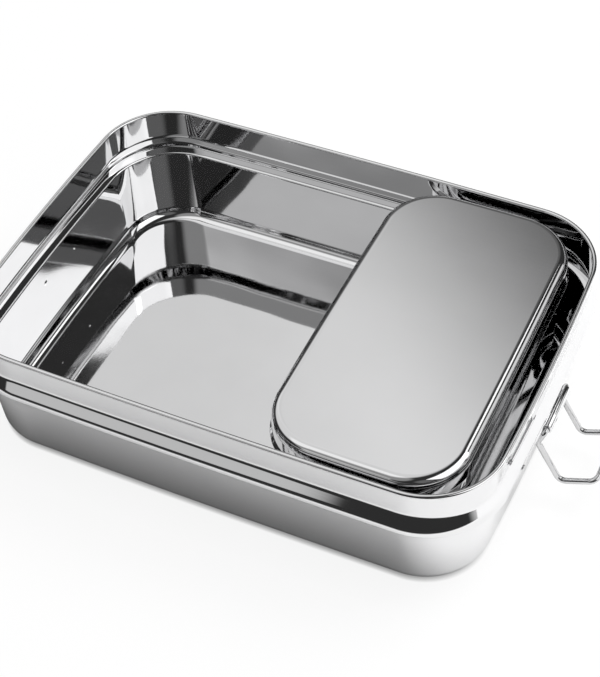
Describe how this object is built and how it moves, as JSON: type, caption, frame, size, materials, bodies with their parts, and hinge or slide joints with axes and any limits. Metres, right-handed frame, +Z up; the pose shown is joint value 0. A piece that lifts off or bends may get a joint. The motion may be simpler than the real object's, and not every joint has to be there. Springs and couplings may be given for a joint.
{
  "type": "lunch box",
  "caption": "Open rectangular drawn-steel lunch box with a rolled rim and bead, a lidded inner pod standing at one end, and a swinging wire clip on each short end.",
  "frame": {"origin": "centre of the box's underside, on the surface it stands on", "axes": "+X along the long side towards the pod, +Y towards the rear long side, +Z up out of the box"},
  "size_m": [0.2274, 0.1354, 0.0482],
  "materials": {
    "box_steel": "mirror-polished stainless sheet",
    "pod_steel": "mirror-polished stainless sheet",
    "lid_steel": "mirror-polished stainless sheet",
    "bracket_steel": "bright rolled stainless strip",
    "clip_wire_steel": "bright drawn stainless wire"
  },
  "bodies": {
    "box": {"box_shell": "box_steel", "clip_bracket_right": "bracket_steel", "clip_bracket_left": "bracket_steel"},
    "right_clip": {"clip_wire_right": "clip_wire_steel"},
    "left_clip": {"clip_wire_left": "clip_wire_steel"},
    "pod": {"pod_body": "pod_steel"},
    "lid": {"pod_lid": "lid_steel"}
  },
  "joints": [
    {"name": "right_clip_hinge", "type": "hinge", "parent": "box", "child": "right_clip", "pos_m": [0.0943, 0, 0.0275], "axis": [0, -1, 0], "range_deg": [0, 148]},
    {"name": "left_clip_hinge", "type": "hinge", "parent": "box", "child": "left_clip", "pos_m": [-0.0943, 0, 0.0275], "axis": [0, 1, 0], "range_deg": [0, 148]},
    {"name": "pod_lift", "type": "slide", "parent": "box", "child": "pod", "axis": [0, 0, 1], "range_m": [0, 0.06]},
    {"name": "lid_lift", "type": "slide", "parent": "pod", "child": "lid", "axis": [0, 0, 1], "range_m": [0, 0.04]}
  ]
}
